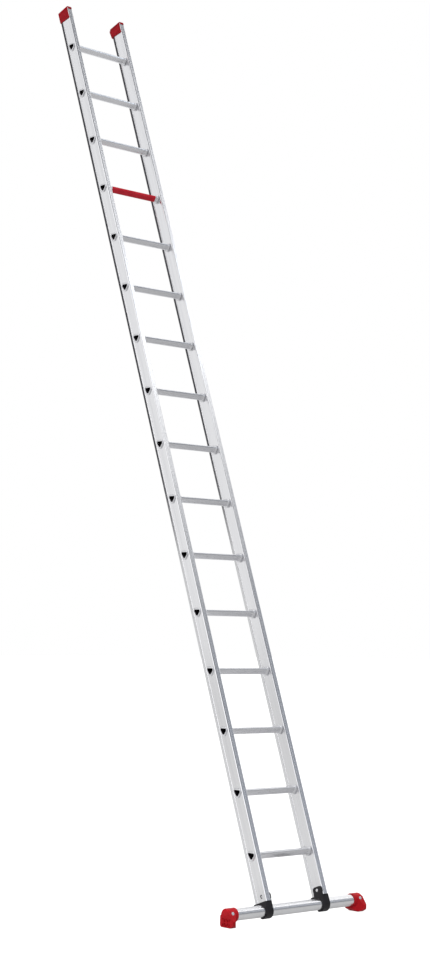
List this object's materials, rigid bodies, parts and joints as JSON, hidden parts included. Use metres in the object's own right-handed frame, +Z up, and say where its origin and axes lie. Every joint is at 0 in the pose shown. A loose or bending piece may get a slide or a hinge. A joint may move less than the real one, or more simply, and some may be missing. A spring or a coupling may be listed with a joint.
{
  "type": "leaning ladder",
  "caption": "Single-section leaning aluminium ladder with flat-tread rungs, one of them red, red top caps, and a wide stabiliser tube with red feet held by black saddle brackets.",
  "frame": {"origin": "on the floor, midway between the two feet and straight below the stabiliser tube's axis", "axes": "+Z up, +X across the ladder towards its right foot as the climber sees it, +Y level and towards the wall that the ladder leans on"},
  "size_m": [0.72, 1.5137, 3.9718],
  "materials": {
    "stile_aluminium": "mill finish extrusion, fine lengthwise grain",
    "rung_aluminium": "mill finish extrusion, satin",
    "rung_red": "red powder coat between the collars",
    "cap_red": "moulded, satin gloss",
    "foot_red": "moulded, fine grain",
    "bracket_black": "moulded, fine grain",
    "tube_aluminium": "drawn tube, satin",
    "zinc_steel": "bright zinc plate",
    "rivet_aluminium": "bright"
  },
  "bodies": {
    "root": {"stile_left": "stile_aluminium", "stile_right": "stile_aluminium", "rung_01": "rung_aluminium", "rung_02": "rung_aluminium", "rung_03": "rung_aluminium", "rung_04": "rung_aluminium", "rung_05": "rung_aluminium", "rung_06": "rung_aluminium", "rung_07": "rung_aluminium", "rung_08": "rung_aluminium", "rung_09": "rung_aluminium", "rung_10": "rung_aluminium", "rung_11": "rung_aluminium", "rung_12": "rung_aluminium", "rung_13": "rung_red", "rung_14": "rung_aluminium", "rung_15": "rung_aluminium", "rung_16": "rung_aluminium", "top_cap_left": "cap_red", "top_cap_right": "cap_red", "stabiliser_tube": "tube_aluminium", "foot_left": "foot_red", "foot_rivet_left": "rivet_aluminium", "saddle_bracket_left": "bracket_black", "bracket_bolt_left": "zinc_steel", "bracket_washer_left": "zinc_steel", "bracket_nut_left": "zinc_steel", "foot_right": "foot_red", "foot_rivet_right": "rivet_aluminium", "saddle_bracket_right": "bracket_black", "bracket_bolt_right": "zinc_steel", "bracket_washer_right": "zinc_steel", "bracket_nut_right": "zinc_steel"}
  },
  "joints": []
}
